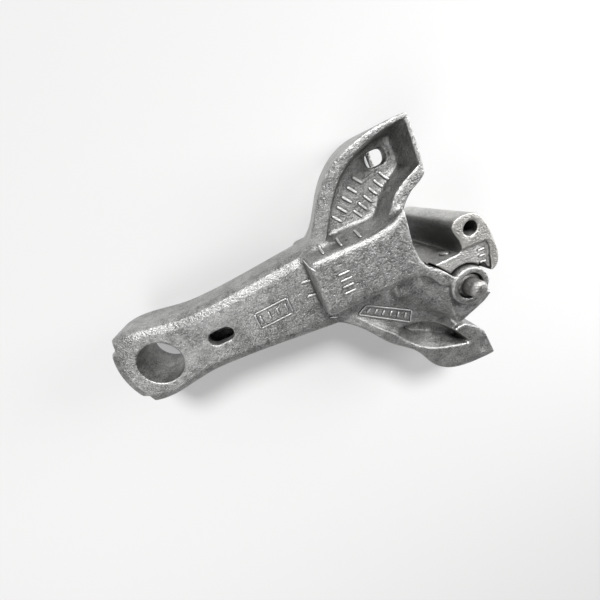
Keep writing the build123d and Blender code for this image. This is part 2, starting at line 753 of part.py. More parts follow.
with BuildPart() as lock_lift_lever:
    # hub and fork arms to the cross rivet
    with BuildSketch(lift_plane(LIFT_Y + 18)):
        with Locations((LEVER_X, LEVER_Z)):
            Circle(17)
    extrude(amount=36)
    for fork_y in (LIFT_Y + 18, LIFT_Y - 12):
        with BuildSketch(lift_plane(fork_y)):
            with Locations((EYE_X, EYE_Z)):
                Circle(12)
            with Locations((LEVER_X, LEVER_Z)):
                Circle(17)
            with BuildLine():
                Polyline(
                    (LEVER_X + 9, LEVER_Z + 13), (EYE_X + 7, EYE_Z + 9.5),
                    (EYE_X - 7, EYE_Z - 9.5), (LEVER_X - 9, LEVER_Z - 13), close=True,
                )
            make_face()
        extrude(amount=6)
    # tail with the eye for the operating rod
    with BuildSketch(lift_plane(LIFT_Y + 9)):
        with BuildLine():
            Polyline(
                (LEVER_X - 2, LEVER_Z + 6), (402, LEVER_Z + 1), (402, LEVER_Z - 15),
                (LEVER_X - 2, LEVER_Z - 14), close=True,
            )
        make_face()
        with Locations((398, LEVER_Z - 12)):
            Circle(19)
            Circle(10.5, mode=Mode.SUBTRACT)
    extrude(amount=18)
    with BuildSketch(lift_plane(LIFT_Y + 30)):
        with Locations((LEVER_X, LEVER_Z)):
            Circle(LEVER_PIN_R + 0.1)
        with Locations((EYE_X, EYE_Z)):
            Circle(RIVET_R + 0.1)
    extrude(amount=60, mode=Mode.SUBTRACT)

lock_lift_lever.part.label = "lock_lift_lever"
export_step(lock_lift_lever.part, "parts/lock_lift_lever.step")

with BuildPart() as lock_lift_connector:
    with BuildSketch(lift_plane(LIFT_Y + 10)):
        with BuildLine():
            Polyline(
                (LEG_X - 11, LINK_Z), (LEG_X + 11, LINK_Z), (EYE_X + 32, EYE_Z + 12),
                (EYE_X + 32, EYE_Z - 14), (EYE_X - 15, EYE_Z - 14), (EYE_X - 15, EYE_Z + 12),
                close=True,
            )
        make_face()
        with Locations((LEG_X, LINK_Z)):
            Circle(11)
        # open slot that the rivet slides along as the lever turns
        low = EYE_Z - RIVET_R - 2.2
        high = EYE_Z + RIVET_R + 2.2
        Polygon(
            (EYE_X - 9.5, low), (EYE_X + 26, low), (EYE_X + 26, high), (EYE_X - 9.5, high),
            align=None, mode=Mode.SUBTRACT,
        )
    extrude(amount=20)
    with BuildSketch(lift_plane(LIFT_Y + 6)):
        Polygon(
            (LEG_X - 30, LINK_Z - 14), (LEG_X + 30, LINK_Z - 14), (LEG_X + 30, LINK_Z + 20),
            (LEG_X - 30, LINK_Z + 20), align=None,
        )
    extrude(amount=12, mode=Mode.SUBTRACT)
    with BuildSketch(lift_plane(LIFT_Y + 12)):
        with Locations((LEG_X, LINK_Z)):
            Circle(RIVET_R + 0.1)
    extrude(amount=24, mode=Mode.SUBTRACT)

lock_lift_connector.part.label = "lock_lift_connector"
export_step(lock_lift_connector.part, "parts/lock_lift_connector.step")

with BuildPart() as lock_lift_toggle:
    with BuildSketch(lift_plane(LIFT_Y + 5.5)):
        with Locations((LEG_X, TOGGLE_Z), (LEG_X, LINK_Z)):
            Circle(12)
        Polygon(
            (LEG_X - 11, TOGGLE_Z), (LEG_X + 11, TOGGLE_Z), (LEG_X + 11, LINK_Z),
            (LEG_X - 11, LINK_Z), align=None,
        )
        with Locations((LEG_X, TOGGLE_Z), (LEG_X, LINK_Z)):
            Circle(RIVET_R + 0.1, mode=Mode.SUBTRACT)
    extrude(amount=11)

lock_lift_toggle.part.label = "lock_lift_toggle"
export_step(lock_lift_toggle.part, "parts/lock_lift_toggle.step")


def rivet(name, x, z, radius, grip, head_r, head_t):
    """Rivet along Y centred on the lift plane, with a head at each end."""
    with BuildPart() as body:
        with BuildSketch(lift_plane(LIFT_Y + grip / 2)):
            with Locations((x, z)):
                Circle(radius)
        extrude(amount=grip)
        for start in (LIFT_Y + grip / 2 + head_t, LIFT_Y - grip / 2):
            with BuildSketch(lift_plane(start)):
                with Locations((x, z)):
                    Circle(head_r)
            extrude(amount=head_t)
    body.part.label = name
    export_step(body.part, "parts/" + name + ".step")


rivet("lever_pin", LEVER_X, LEVER_Z, LEVER_PIN_R, grip=67, head_r=15, head_t=6)
rivet("lever_rivet", EYE_X, EYE_Z, RIVET_R, grip=37, head_r=10, head_t=4)
rivet("connector_rivet", LEG_X, LINK_Z, RIVET_R, grip=21, head_r=10, head_t=3)
rivet("toggle_rivet", LEG_X, TOGGLE_Z, RIVET_R, grip=33, head_r=10, head_t=4)
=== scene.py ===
"""Looks of the rigid-shank knuckle coupler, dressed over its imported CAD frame.

The frame is in metres: origin at the centre of the shank pin bore, +X towards
the knuckle, +Y towards the guard arm, +Z up.
"""

import json
import logging
import math
from dataclasses import dataclass
from enum import Enum
from typing import Any, ClassVar

import bmesh
import bpy
import numpy as np
from mathutils import Matrix, Vector
from mathutils.bvhtree import BVHTree


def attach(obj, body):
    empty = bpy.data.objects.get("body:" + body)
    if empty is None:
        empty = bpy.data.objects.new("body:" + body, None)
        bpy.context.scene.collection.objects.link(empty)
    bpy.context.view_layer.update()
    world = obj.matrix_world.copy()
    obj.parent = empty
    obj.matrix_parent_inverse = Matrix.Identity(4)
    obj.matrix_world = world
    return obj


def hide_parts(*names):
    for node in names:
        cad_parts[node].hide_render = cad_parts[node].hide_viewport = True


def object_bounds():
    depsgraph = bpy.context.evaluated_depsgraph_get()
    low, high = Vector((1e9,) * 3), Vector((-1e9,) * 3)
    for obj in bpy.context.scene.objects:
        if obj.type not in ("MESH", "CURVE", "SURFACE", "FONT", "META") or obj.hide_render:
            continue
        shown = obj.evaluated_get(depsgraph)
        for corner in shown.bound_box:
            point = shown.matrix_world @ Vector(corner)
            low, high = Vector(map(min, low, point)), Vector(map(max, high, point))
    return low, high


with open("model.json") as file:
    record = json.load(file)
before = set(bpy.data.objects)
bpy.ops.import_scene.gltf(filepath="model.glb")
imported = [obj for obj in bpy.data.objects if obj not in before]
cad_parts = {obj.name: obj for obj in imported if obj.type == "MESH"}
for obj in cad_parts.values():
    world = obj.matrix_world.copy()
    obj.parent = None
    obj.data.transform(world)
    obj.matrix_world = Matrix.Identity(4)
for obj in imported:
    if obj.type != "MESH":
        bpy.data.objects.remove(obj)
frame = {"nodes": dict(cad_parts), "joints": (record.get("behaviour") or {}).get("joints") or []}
cad_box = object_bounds()

log = logging.getLogger("coupler")

Colour = tuple[float, float, float]
Point = tuple[float, float, float]
Spot = tuple[float, float]

MM = 0.001
CREST = "crest"
RAYS = 6  # samples of the nodes that look round a point


# ------------------------------------------------------------------ shader maths
class Value:
    """A number or colour leaving a node, usable in Python expressions."""

    def __init__(self, graph: "Graph", socket: bpy.types.NodeSocket) -> None:
        """Wraps one output socket of a graph."""
        self.graph = graph
        self.socket = socket

    def _math(self, operation: str, first: Any, second: Any) -> "Value":
        """Adds one Math node working on two numbers."""
        return self.graph.node("ShaderNodeMath", {"operation": operation}, {0: first, 1: second})

    def __add__(self, other: Any) -> "Value":
        """Sum."""
        return self._math("ADD", self, other)

    def __radd__(self, other: Any) -> "Value":
        """Sum, number first."""
        return self._math("ADD", other, self)

    def __sub__(self, other: Any) -> "Value":
        """Difference."""
        return self._math("SUBTRACT", self, other)

    def __rsub__(self, other: Any) -> "Value":
        """Difference, number first."""
        return self._math("SUBTRACT", other, self)

    def __mul__(self, other: Any) -> "Value":
        """Product."""
        return self._math("MULTIPLY", self, other)

    def __rmul__(self, other: Any) -> "Value":
        """Product, number first."""
        return self._math("MULTIPLY", other, self)

    def __gt__(self, other: Any) -> "Value":
        """One where this is larger, else zero."""
        return self._math("GREATER_THAN", self, other)

    def clamped(self, low: float, high: float) -> "Value":
        """Maps low to 0 and high to 1, and holds both ends.

        Args:
            low: Value that becomes 0.
            high: Value that becomes 1.

        Returns:
            The mapped value.
        """
        return self.graph.node(
            "ShaderNodeMapRange",
            {"clamp": True, "interpolation_type": "SMOOTHSTEP"},
            {"Value": self, "From Min": low, "From Max": high},
        )


class Graph:
    """The node tree of one material or of the world."""

    def __init__(self, owner: bpy.types.Material | bpy.types.World, shader: str) -> None:
        """Takes over the tree that a new material or world starts with.

        Args:
            owner: The material or world.
            shader: The name of its one shader node.
        """
        owner.use_nodes = True
        self.tree = owner.node_tree
        self.shader = self.tree.nodes[shader]

    def node(
        self,
        kind: str,
        settings: dict[str, Any] | None = None,
        inputs: dict[Any, Any] | None = None,
        output: int | str = 0,
    ) -> Value:
        """Adds one node.

        Args:
            kind: Blender's node type.
            settings: Properties, set before the sockets.
            inputs: Values or links by socket name or number.
            output: The socket to return.

        Returns:
            The chosen output.
        """
        made = self.tree.nodes.new(kind)
        for name, setting in (settings or {}).items():
            setattr(made, name, setting)
        for name, given in (inputs or {}).items():
            self.feed(made.inputs[name], given)
        return Value(self, made.outputs[output])

    def feed(self, socket: bpy.types.NodeSocket, given: Any) -> None:
        """Links a value into a socket, or sets the socket.

        Args:
            socket: The socket.
            given: A value of this graph, a number or a colour.
        """
        if isinstance(given, Value):
            self.tree.links.new(given.socket, socket)
        elif isinstance(given, tuple) and len(given) == 3 and socket.type == "RGBA":
            socket.default_value = (*given, 1.0)
        else:
            socket.default_value = given

    def shade(self, name: str, given: Any) -> None:
        """Feeds the shader's socket of this name."""
        self.feed(self.shader.inputs[name], given)

    def mix(self, factor: Any, low: Any, high: Any) -> Value:
        """Mixes two colours.

        Args:
            factor: 0 for low, 1 for high.
            low: A colour or a colour output.
            high: A colour or a colour output.

        Returns:
            The mixed colour.
        """
        return self.node("ShaderNodeMix", {"data_type": "RGBA"}, {0: factor, 6: low, 7: high}, 2)

    def noise(self, scale: float, detail: float = 2.0, roughness: float = 0.5) -> Value:
        """Noise in the object's own space.

        Args:
            scale: Cycles per metre.
            detail: Finer layers on top.
            roughness: Their share.

        Returns:
            The noise, from 0 to 1.
        """
        return self.node(
            "ShaderNodeTexNoise",
            {},
            {"Vector": self.place, "Scale": scale, "Detail": detail, "Roughness": roughness},
        )

    def pits(self, scale: float) -> Value:
        """Distance to scattered points, for the pits of a sand mould."""
        return self.node("ShaderNodeTexVoronoi", {}, {"Vector": self.place, "Scale": scale})

    @property
    def place(self) -> Value:
        """Position in the object's own space, in metres."""
        return self.node("ShaderNodeTexCoord", output="Object")

    @property
    def height(self) -> Value:
        """Height of the surface over the frame's origin, in metres."""
        return self.node("ShaderNodeSeparateXYZ", {}, {0: self.place}, output="Z")

    @property
    def crest(self) -> Value:
        """One on the crests of raised lines, else zero."""
        return self.node("ShaderNodeAttribute", {"attribute_name": CREST}, output="Fac")

    @property
    def facing_back(self) -> Value:
        """One on walls that face the shank's end, else zero."""
        normal = self.node("ShaderNodeTexCoord", output="Normal")
        ahead = self.node("ShaderNodeSeparateXYZ", {}, {0: normal}, output="X")
        return ahead.clamped(-0.3, -0.8)

    @property
    def sharpness(self) -> Value:
        """Above one half on outside edges, below it in hollows."""
        return self.node("ShaderNodeNewGeometry", output="Pointiness")

    def openness(self, reach: float) -> Value:
        """One on open surfaces, lower beside walls nearer than this reach."""
        return self.node("ShaderNodeAmbientOcclusion", {"samples": RAYS}, {"Distance": reach}, "AO")

    def rounded(self, radius: float) -> Value:
        """A normal that rounds edges by this radius."""
        return self.node("ShaderNodeBevel", {"samples": RAYS}, {"Radius": radius})

    def bump(self, height: Value, distance: float, strength: float, under: Value | None) -> Value:
        """Adds relief.

        Args:
            height: Relief from 0 to 1.
            distance: Its depth in metres.
            strength: Its share.
            under: A normal that it lies on, if any.

        Returns:
            The new normal.
        """
        inputs = {"Height": height, "Distance": distance, "Strength": strength}
        if under is not None:
            inputs["Normal"] = under
        return self.node("ShaderNodeBump", {}, inputs)

    def path(self, ray: str) -> Value:
        """One for this kind of ray, as Light Path names it, else zero."""
        return self.node("ShaderNodeLightPath", output=ray)


# ------------------------------------------------------------------ finishes
class Grade(Enum):
    """How coarse a steel surface is, as cycles of its sand grain per metre."""

    COARSE = 235.0
    MEDIUM = 420.0
    FINE = 900.0


@dataclass(frozen=True)
class CastSteel:
    """Shot-blasted steel: sand grain and soft blotches, with bright edges of rubbed wear and
    painted highlight, painted glints, and painted shade in hollows and crevices.
    """

    name: str
    dark: Colour = (0.085, 0.085, 0.083)
    light: Colour = (0.435, 0.435, 0.428)
    # colour of rubbed wear and of painted highlights: glints, outside edges and crests
    rubbed_and_highlight: Colour = (0.78, 0.78, 0.77)
    worn: Colour = (0.38, 0.37, 0.35)
    # colour of the painted shade laid in crevices and alcoves
    painted_shade: Colour = (0.045, 0.045, 0.043)
    grade: Grade = Grade.COARSE
    relief: float = 2.3 * MM
    metallic: float = 0.85
    rough: float = 0.43
    edge_radius: float = 0.0
    worn_above: float | None = None
    # share of painted shade laid in deep alcoves on walls that face the shank's end
    alcove_shade: float = 0.0

    BLOTCH_SCALE: ClassVar[float] = 13.0
    PATCH_SCALE: ClassVar[float] = 48.0
    GLINT_RATIO: ClassVar[float] = 2.3
    PIT_RATIO: ClassVar[float] = 0.42
    GRAIN_SHARE: ClassVar[float] = 0.46
    BLOTCH_SHARE: ClassVar[float] = 0.26
    PATCH_SHARE: ClassVar[float] = 0.28
    CREVICE: ClassVar[float] = 26 * MM
    ALCOVE: ClassVar[float] = 120 * MM

    def material(self) -> bpy.types.Material:
        """Builds the material.

        Returns:
            A new material of this finish.
        """
        material = bpy.data.materials.new(self.name)
        graph = Graph(material, "Principled BSDF")
        grain = graph.noise(self.grade.value, 3.0, 0.62)
        patches = graph.noise(self.PATCH_SCALE, 3.0, 0.62)
        edge = graph.sharpness.clamped(0.505, 0.56)
        steel = self.steel(graph, grain, patches, edge)
        graph.shade("Base Color", self.shade_and_wear(graph, steel, grain))
        roughness = self.rough + (grain - 0.5) * 0.25 + (patches - 0.5) * 0.18 - edge * 0.08
        graph.shade("Roughness", roughness)
        graph.shade("Metallic", self.metallic)
        graph.shade("Normal", self.surface(graph, grain, patches))
        return material

    def steel(self, graph: Graph, grain: Value, patches: Value, edge: Value) -> Value:
        """The steel: mottled, with painted glints, edges lightened by rubbed wear and painted
        highlight, and hollows darkened by painted shade.

        Args:
            graph: The material's nodes.
            grain: Noise of the sand grain.
            patches: Noise of thumb-wide patches.
            edge: One on outside edges.

        Returns:
            The colour.
        """
        blotch = graph.noise(self.BLOTCH_SCALE, 3.0, 0.6)
        glint_noise = graph.noise(self.grade.value * self.GLINT_RATIO, 1.0)
        hollow = graph.sharpness.clamped(0.495, 0.44)
        tone = (
            grain.clamped(0.30, 0.72) * self.GRAIN_SHARE
            + blotch.clamped(0.32, 0.68) * self.BLOTCH_SHARE
            + patches.clamped(0.34, 0.66) * self.PATCH_SHARE
        )
        colour = graph.mix(tone, self.dark, self.light)
        # painted glints: bright specks of the highlight colour where the fine noise runs high
        colour = graph.mix((glint_noise > 0.665) * 0.55, colour, self.rubbed_and_highlight)
        # outside edges lightened: part rubbed wear, part painted highlight
        colour = graph.mix(edge * 0.75, colour, self.rubbed_and_highlight)
        # hollows darkened towards the dark tone: painted shade
        return graph.mix(hollow * 0.55, colour, self.dark)

    def shade_and_wear(self, graph: Graph, colour: Value, grain: Value) -> Value:
        """Lays painted shade in the crevices and in deep alcoves on walls that face the shank's
        end, rubbed wear with painted highlight on the crests, and wear on the top.

        Args:
            graph: The material's nodes.
            colour: The steel, before this shade and wear.
            grain: Noise of the sand grain.

        Returns:
            The colour.
        """
        # painted shade: crevices darkened by how closed in they are
        crevice = graph.openness(self.CREVICE).clamped(0.88, 0.25)
        colour = graph.mix(crevice * 0.85, colour, self.painted_shade)
        # painted shade on walls facing the shank's end in deep alcoves, as on the knuckle's pulling
        # face
        if self.alcove_shade:
            alcove = graph.openness(self.ALCOVE).clamped(0.98, 0.55) * graph.facing_back
            colour = graph.mix(alcove * self.alcove_shade, colour, self.painted_shade)
        # crests of raised lines lightened: part rubbed wear, part painted highlight
        colour = graph.mix(graph.crest * 0.8, colour, self.rubbed_and_highlight)
        if self.worn_above is not None:
            top = (graph.height > self.worn_above) * (0.25 + grain * 0.8)
            colour = graph.mix(top, colour, self.worn)
        return colour

    def surface(self, graph: Graph, grain: Value, patches: Value) -> Value:
        """The relief of a sand mould: soft waves, grain and pits.

        Args:
            graph: The material's nodes.
            grain: Noise of the sand grain.
            patches: Noise of thumb-wide patches.

        Returns:
            The normal.
        """
        base = graph.rounded(self.edge_radius) if self.edge_radius else None
        pits = graph.pits(self.grade.value * self.PIT_RATIO).clamped(0.0, 0.35)
        waves = graph.bump(patches, 5.0 * self.relief, 0.16, base)
        sand = graph.bump(grain, self.relief, 0.8, waves)
        return graph.bump(pits, self.relief * 0.7, 0.35, sand)


CAST_STEEL = CastSteel("cast_steel")
# lighter tones than the body's steel: painted light for the brighter light that the knuckle's
# rounded front catches; its alcove share is painted shade
KNUCKLE_STEEL = CastSteel(
    "knuckle_steel", dark=(0.25, 0.248, 0.24), light=(0.64, 0.635, 0.62), worn_above=0.137,
    alcove_shade=0.96,
)
PIN_STEEL = CastSteel(
    "pin_steel", dark=(0.05, 0.049, 0.047), light=(0.36, 0.35, 0.34), rubbed_and_highlight=(0.60, 0.59, 0.58),
    relief=3.0 * MM, rough=0.46, edge_radius=1.5 * MM,
)
LOCK_STEEL = CastSteel("lock_steel", grade=Grade.MEDIUM, relief=0.7 * MM, edge_radius=2.5 * MM)
FORGED_STEEL = CastSteel(
    "forged_steel", dark=(0.17, 0.165, 0.16), light=(0.36, 0.35, 0.34), grade=Grade.MEDIUM,
    relief=0.5 * MM, edge_radius=1.5 * MM,
)
BRIGHT_STEEL = CastSteel(
    "bright_steel", grade=Grade.FINE, relief=0.2 * MM, rough=0.34, edge_radius=0.8 * MM
)


# ------------------------------------------------------------------ mesh helpers
def mesh_object(name: str, mesh: bpy.types.Mesh) -> bpy.types.Object:
    """Links a mesh into the scene.

    Args:
        name: The name of its object.
        mesh: The mesh.

    Returns:
        The object.
    """
    made = bpy.data.objects.new(name, mesh)
    bpy.context.scene.collection.objects.link(made)
    return made


def form_object(name: str, form: bmesh.types.BMesh) -> bpy.types.Object:
    """Makes an object from a form, and frees the form.

    Args:
        name: The name of the object and its mesh.
        form: The form.

    Returns:
        The object.
    """
    mesh = bpy.data.meshes.new(name)
    form.to_mesh(mesh)
    form.free()
    return mesh_object(name, mesh)


def baked(piece: bpy.types.Object) -> None:
    """Applies the modifiers of a piece to its mesh.

    Args:
        piece: The piece.
    """
    bpy.context.view_layer.update()
    graph = bpy.context.evaluated_depsgraph_get()
    mesh = bpy.data.meshes.new_from_object(piece.evaluated_get(graph))
    piece.modifiers.clear()
    piece.data = mesh


@dataclass(frozen=True)
class Bead:
    """A raised line of the mould that follows the surface it is thrown onto."""

    points: tuple[Point, ...]
    width: float = 6.0 * MM
    rise: float = 4.2 * MM
    aim: Point = (0.0, 0.0, -1.0)
    reach: float = 300.0 * MM
    shine: float = 1.0

    STEP: ClassVar[float] = 3.0 * MM
    END_SHARE: ClassVar[float] = 0.55
    CREST_FROM: ClassVar[float] = 0.9
    SECTION: ClassVar[tuple[Spot, ...]] = (
        (-0.52, -0.9), (-0.50, 0.55), (-0.38, 0.93), (0.0, 1.05), (0.38, 0.93), (0.50, 0.55),
        (0.52, -0.9),
    )

    def samples(self) -> list[Vector]:
        """Divides the line into steps.

        Returns:
            Points along it, about one step apart.
        """
        made = []
        for start, end in zip(self.points, self.points[1:]):
            start, end = Vector(start), Vector(end)
            steps = max(2, round((end - start).length / self.STEP))
            made += [start.lerp(end, step / steps) for step in range(steps)]
        return made + [Vector(self.points[-1])]

    def add_to(self, form: bmesh.types.BMesh, ground: BVHTree) -> None:
        """Adds the bead to a form.

        Args:
            form: The mesh that takes it.
            ground: The surface that it lies on.
        """
        aim = Vector(self.aim).normalized()
        hits = [ground.ray_cast(spot - aim * self.reach, aim)[:2] for spot in self.samples()]
        spots = [spot for spot, _ in hits if spot is not None]
        up = sum((normal for spot, normal in hits if spot is not None), Vector()).normalized()
        crest = form.verts.layers.float[CREST]
        rows = []
        for index, spot in enumerate(spots):
            ahead = spots[min(index + 1, len(spots) - 1)] - spots[max(index - 1, 0)]
            side = ahead.cross(up).normalized()
            share = self.END_SHARE if index in (0, len(spots) - 1) else 1.0
            row = []
            for across, over in self.SECTION:
                away = side * across * self.width * share + up * over * self.rise * share
                row.append(form.verts.new(spot + away))
                # crest vertices carry the share of rubbed wear and painted highlight that the
                # material lays on them
                row[-1][crest] = self.shine * float(over > self.CREST_FROM)
            rows.append(row)
        for first, second in zip(rows, rows[1:]):
            for index in range(len(first)):
                after = (index + 1) % len(first)
                form.faces.new((first[index], second[index], second[after], first[after]))
        form.faces.new(rows[0])
        form.faces.new(rows[-1][::-1])


@dataclass(frozen=True)
class Zone:
    """A block or an upright cylinder in the frame."""

    low: Point
    high: Point
    round: bool = False

    BLEND: ClassVar[float] = 6.0 * MM

    def depth(self, points: np.ndarray) -> np.ndarray:
        """How far each point lies inside; negative outside.

        Args:
            points: One row of X, Y and Z for each point.

        Returns:
            The depths in metres.
        """
        middle = (np.array(self.low) + np.array(self.high)) / 2
        half = (np.array(self.high) - np.array(self.low)) / 2
        away = points - middle
        if self.round:
            across = half[0] - np.hypot(away[:, 0], away[:, 1])
            return np.minimum(across, half[2] - np.abs(away[:, 2]))
        return (half - np.abs(away)).min(axis=1)

    def freedom(self, points: np.ndarray) -> np.ndarray:
        """Zero inside and one outside, blended over the zone's faces.

        Args:
            points: One row of X, Y and Z for each point.

        Returns:
            One column.
        """
        return 1 - np.clip(0.5 + self.depth(points) / self.BLEND, 0, 1)[:, None]

    def cut(self, piece: bpy.types.Object) -> None:
        """Takes this block out of a piece.

        Args:
            piece: The piece.
        """
        form = bmesh.new()
        middle = (Vector(self.low) + Vector(self.high)) / 2
        size = Vector(self.high) - Vector(self.low)
        place = Matrix.Translation(middle) @ Matrix.Diagonal((*size, 1.0))
        bmesh.ops.create_cube(form, size=1.0, matrix=place)
        block = form_object("window", form)
        away = piece.modifiers.new("window", "BOOLEAN")
        away.operation = "DIFFERENCE"
        away.object = block
        baked(piece)
        bpy.data.objects.remove(block)


class Net:
    """The edges that tie points to their neighbours."""

    def __init__(self, ends: np.ndarray, count: int) -> None:
        """Counts the neighbours of each point.

        Args:
            ends: The two points of each edge, by number.
            count: How many points there are.
        """
        self.first, self.second = ends[:, 0], ends[:, 1]
        self.count = count
        self.degree = np.maximum(np.bincount(ends.ravel(), minlength=count), 1)[:, None]

    def relaxed(self, points: np.ndarray, passes: int) -> np.ndarray:
        """Moves points half way to the mean of their neighbours, again and again.

        Args:
            points: Where to start.
            passes: How often.

        Returns:
            The moved points.
        """
        for _ in range(passes):
            total = np.stack(
                [
                    np.bincount(self.first, points[self.second, axis], self.count)
                    + np.bincount(self.second, points[self.first, axis], self.count)
                    for axis in range(3)
                ],
                axis=1,
            )
            points = 0.5 * points + 0.5 * total / self.degree
        return points


class Skin:
    """The points of a mesh, smoothed as sand casting leaves them."""

    FADE = 10.0 * MM
    SWELL_EDGE_SHARE = 0.3

    def __init__(self, mesh: bpy.types.Mesh) -> None:
        """Reads points, normals and edges.

        Args:
            mesh: The mesh, which store() writes back to.
        """
        self.mesh = mesh
        self.points = self.read("co")
        self.normals = self.read("normal")
        ends = np.empty(2 * len(mesh.edges), dtype=np.int64)
        mesh.edges.foreach_get("vertices", ends)
        self.ends = ends.reshape(-1, 2)

    def read(self, name: str) -> np.ndarray:
        """Reads one vector of each vertex.

        Args:
            name: Its name in Blender.

        Returns:
            One row for each vertex.
        """
        flat = np.empty(3 * len(self.mesh.vertices))
        self.mesh.vertices.foreach_get(name, flat)
        return flat.reshape(-1, 3)

    def cast(self, light: int, deep: int, edge_share: float, kept: tuple[Zone, ...]) -> None:
        """Fills hollows widely and rounds edges less, as a mould does.

        Args:
            light: Passes over the whole mesh.
            deep: Passes that fill the hollows.
            edge_share: The share of the deep passes that outside edges take.
            kept: Zones that only take the light passes.
        """
        net = Net(self.ends, len(self.points))
        self.points = net.relaxed(self.points, light)
        moved = net.relaxed(self.points, deep) - self.points
        outward = (moved * self.normals).sum(axis=1, keepdims=True)
        share = np.where(outward > 0, 1.0, edge_share)
        for zone in kept:
            share *= zone.freedom(self.points)
        self.points = self.points + moved * share

    def settle(self, swell: Zone, passes: int, kept: tuple[Zone, ...]) -> None:
        """Lets one region flow together, as a blended swell of the pattern.

        Args:
            swell: The region.
            passes: How often its points move.
            kept: Zones inside it that stay.
        """
        depth = swell.depth(self.points)
        chosen = np.flatnonzero(depth > 0)
        number = np.full(len(self.points), -1)
        number[chosen] = np.arange(len(chosen))
        ends = number[self.ends]
        net = Net(ends[(ends >= 0).all(axis=1)], len(chosen))
        start = self.points[chosen]
        weight = np.clip(depth[chosen] / self.FADE, 0, 1)[:, None]
        for zone in kept:
            weight *= zone.freedom(start)
        points = start
        for _ in range(passes):
            points = points + (net.relaxed(points, 1) - points) * weight
        moved = points - start
        outward = (moved * self.normals[chosen]).sum(axis=1, keepdims=True)
        self.points[chosen] = start + moved * np.where(outward > 0, 1.0, self.SWELL_EDGE_SHARE)

    def store(self) -> None:
        """Writes the points back to the mesh."""
        self.mesh.vertices.foreach_set("co", self.points.ravel())
        self.mesh.update()


# ------------------------------------------------------------------ ways of making a piece
@dataclass
class Casting:
    """A cast piece: the CAD solid with its marks, made soft as sand casting leaves it."""

    node: str
    finish: CastSteel
    grain: float = 2.2 * MM
    light: int = 6
    deep: int = 90
    edge_share: float = 0.25
    swell_passes: int = 260
    faces: int = 180_000
    kept: tuple[Zone, ...] = ()
    windows: tuple[Zone, ...] = ()
    swells: tuple[Zone, ...] = ()
    beads: tuple[Bead, ...] = ()

    def build(self) -> None:
        """Makes the piece, which rides on the body of its node's name."""
        piece = mesh_object(self.node + "_cast", frame["nodes"][self.node].data.copy())
        for window in self.windows:
            window.cut(piece)
        self.soften(piece)
        self.mark(piece)
        install(piece, self.node, self.node, self.finish)

    def soften(self, piece: bpy.types.Object) -> None:
        """Makes one even skin of the solid, rounds its edges and thins its faces.

        Args:
            piece: The piece.
        """
        even = piece.modifiers.new("even", "REMESH")
        even.mode = "VOXEL"
        even.voxel_size = self.grain
        baked(piece)
        skin = Skin(piece.data)
        skin.cast(self.light, self.deep, self.edge_share, self.kept)
        for swell in self.swells:
            skin.settle(swell, self.swell_passes, self.kept)
        skin.store()
        thin = piece.modifiers.new("thin", "DECIMATE")
        thin.ratio = min(1.0, self.faces / (2 * len(piece.data.polygons)))
        baked(piece)

    def mark(self, piece: bpy.types.Object) -> None:
        """Lays the beads on the piece.

        Args:
            piece: The piece.
        """
        form = bmesh.new()
        form.from_mesh(piece.data)
        form.verts.layers.float.new(CREST)
        ground = BVHTree.FromBMesh(form)
        for bead in self.beads:
            bead.add_to(form, ground)
        form.to_mesh(piece.data)
        form.free()


def install(piece: bpy.types.Object, node: str, body: str, finish: CastSteel) -> None:
    """Dresses a piece and puts it in place of a CAD node.

    Args:
        piece: The piece.
        node: The CAD node that it stands for.
        body: The body that it moves with.
        finish: Its finish.
    """
    piece.data.materials.clear()
    piece.data.materials.append(finish.material())
    piece.data.shade_smooth()
    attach(piece, body)
    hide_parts(node)
    log.info("%s: %d faces", piece.name, len(piece.data.polygons))


def dress(node: str, finish: CastSteel) -> None:
    """Gives a forged or machined piece its finish over the CAD solid.

    Args:
        node: The CAD node.
        finish: Its finish.
    """
    piece = frame["nodes"][node]
    piece.data.materials.clear()
    piece.data.materials.append(finish.material())
    log.info("%s: dressed", piece.name)


# ------------------------------------------------------------------ marks of the mould
@dataclass(frozen=True)
class GaugeRibs:
    """Short ribs round the lock box that a gauge is read against."""

    wall_x: tuple[float, ...] = (0.460, 0.502, 0.546)
    wall_foot: Spot = (0.104, 0.082)
    wall_top: Spot = (0.097, 0.128)
    wall_lean: float = 3.0 * MM
    shank_y: tuple[float, ...] = (0.041, 0.0035)
    shank_x: Spot = (0.389, 0.412)
    shank_top: float = 0.075
    corners: tuple[tuple[Spot, Spot], ...] = (
        ((0.414, 0.092), (0.427, 0.074)), ((0.420, -0.072), (0.440, -0.080)),
    )

    def beads(self) -> list[Bead]:
        """Draws the ribs.

        Returns:
            Those on the wall, on the shank and at the corners.
        """
        made = [
            Bead(((x, *self.wall_foot), (x - self.wall_lean, *self.wall_top)), aim=(0, -0.8, -0.6))
            for x in self.wall_x
        ]
        low, high = self.shank_x
        made += [Bead(((low, y, self.shank_top), (high, y, self.shank_top))) for y in self.shank_y]
        made += [
            Bead(((*start, self.shank_top), (*end, self.shank_top)), width=4 * MM, rise=2.8 * MM)
            for start, end in self.corners
        ]
        return made


@dataclass(frozen=True)
class TallyRow:
    """A row of plain upright strokes with no meaning, as a mould's tally."""

    start: Spot
    end: Spot
    height: float
    count: int
    level: float
    width: float = 6.0 * MM
    rise: float = 4.4 * MM

    def beads(self) -> list[Bead]:
        """Draws the strokes, each square to the row's line and to its left.

        Returns:
            One bead for each.
        """
        along = Vector((self.end[0] - self.start[0], self.end[1] - self.start[1], 0.0))
        upright = Vector((-along.y, along.x, 0.0)).normalized() * self.height
        made = []
        for index in range(self.count):
            foot = Vector((*self.start, self.level)) + along * (index / max(1, self.count - 1))
            made.append(Bead((tuple(foot), tuple(foot + upright)), self.width, self.rise))
        return made


